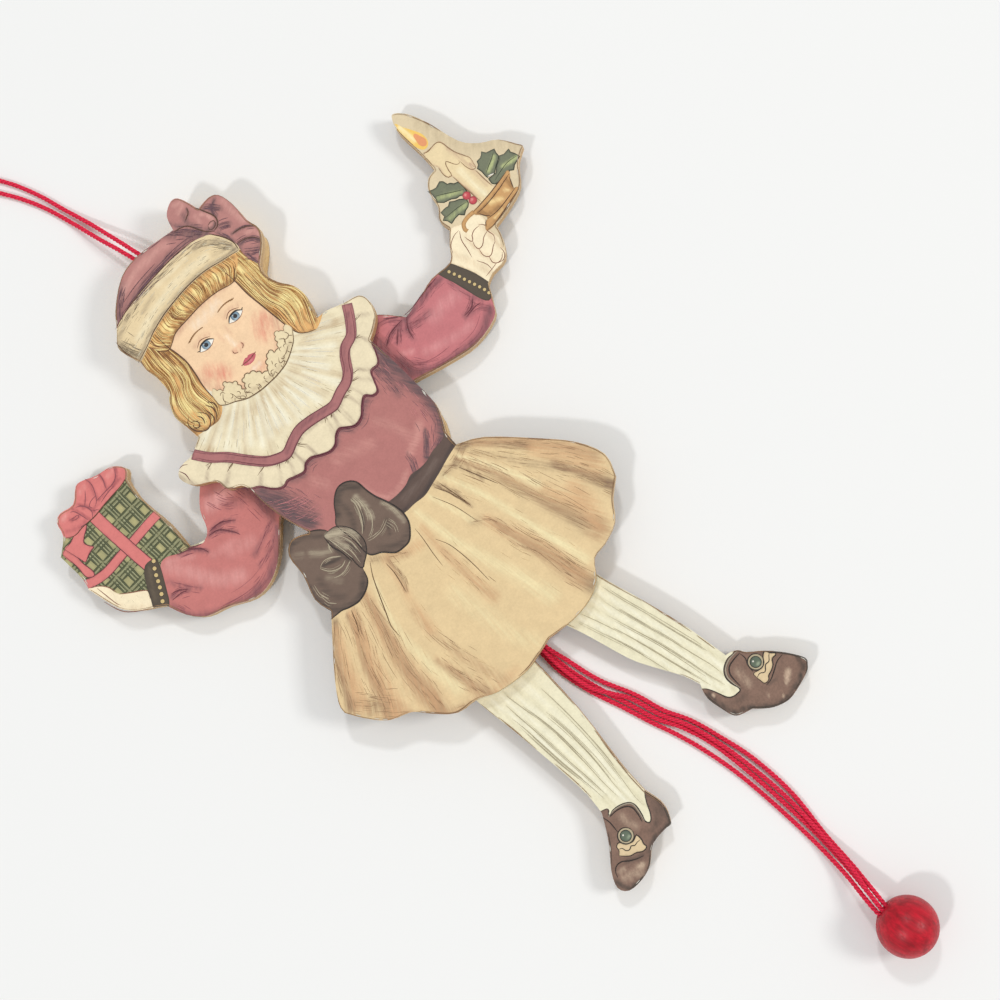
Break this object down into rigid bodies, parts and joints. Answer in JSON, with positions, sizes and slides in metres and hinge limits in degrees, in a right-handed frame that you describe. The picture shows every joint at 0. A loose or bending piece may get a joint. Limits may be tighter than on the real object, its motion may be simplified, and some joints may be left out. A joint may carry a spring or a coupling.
{
  "type": "pull string jumping jack",
  "caption": "Flat wooden figure faced with printed paper; pulling the bead below it swings its pinned arms and legs up together, and a cord loop above hangs it up.",
  "frame": {"origin": "on the rear face of the backing board, in the middle of the figure's waist, where it rests on the table", "axes": "+X to the viewer's right, +Y up the figure towards its head, +Z out of the printed face"},
  "size_m": [0.1249, 0.2607, 0.012],
  "materials": {
    "pale_plywood": "sanded edge, satin",
    "golden_wood": "raw sawn edge",
    "body_paper": "varnished printed paper",
    "arm_paper": "varnished printed paper",
    "leg_paper": "varnished printed paper",
    "pin_brass": "plain",
    "washer_steel": "plain",
    "red_cord": "twisted cotton",
    "red_bead": "red stained, satin varnish"
  },
  "bodies": {
    "figure": {"front_plate": "pale_plywood", "body_print": "body_paper", "backing_board": "golden_wood", "left_shoulder_pin": "pin_brass", "right_shoulder_pin": "pin_brass", "left_hip_pin": "pin_brass", "right_hip_pin": "pin_brass", "left_shoulder_washer": "washer_steel", "right_shoulder_washer": "washer_steel", "left_hip_washer": "washer_steel", "right_hip_washer": "washer_steel", "hanging_loop": "red_cord"},
    "pull": {"bead": "red_bead", "left_arm_cord": "red_cord", "right_arm_cord": "red_cord", "left_leg_cord": "red_cord", "right_leg_cord": "red_cord"},
    "left_arm": {"left_arm": "pale_plywood", "left_arm_print": "arm_paper", "left_arm_knot": "red_cord"},
    "right_arm": {"right_arm": "pale_plywood", "right_arm_print": "arm_paper", "right_arm_knot": "red_cord"},
    "left_leg": {"left_leg": "pale_plywood", "left_leg_print": "leg_paper", "left_leg_knot": "red_cord"},
    "right_leg": {"right_leg": "pale_plywood", "right_leg_print": "leg_paper", "right_leg_knot": "red_cord"}
  },
  "joints": [
    {"name": "pull", "type": "slide", "parent": "figure", "child": "pull", "axis": [0, -1, 0], "range_m": [-0.001, 0.005], "deforming": ["left_arm_cord", "right_arm_cord", "left_leg_cord", "right_leg_cord"]},
    {"name": "left_arm_swing", "type": "hinge", "parent": "figure", "child": "left_arm", "pos_m": [-0.0155, 0.019, 0.0035], "axis": [0, 0, 1], "range_deg": [-36, 7.3]},
    {"name": "right_arm_swing", "type": "hinge", "parent": "figure", "child": "right_arm", "pos_m": [0.0155, 0.019, 0.0035], "axis": [0, 0, 1], "range_deg": [-7.3, 36]},
    {"name": "left_leg_swing", "type": "hinge", "parent": "figure", "child": "left_leg", "pos_m": [-0.0092, -0.034, 0.0035], "axis": [0, 0, 1], "range_deg": [-48, 9.7]},
    {"name": "right_leg_swing", "type": "hinge", "parent": "figure", "child": "right_leg", "pos_m": [0.0092, -0.034, 0.0035], "axis": [0, 0, 1], "range_deg": [-9.7, 48]}
  ],
  "couplings": [
    {"joint": "left_arm_swing", "follows": "pull", "rad_per_m": -125},
    {"joint": "right_arm_swing", "follows": "pull", "rad_per_m": 125},
    {"joint": "left_leg_swing", "follows": "pull", "rad_per_m": -166.67},
    {"joint": "right_leg_swing", "follows": "pull", "rad_per_m": 166.67}
  ]
}
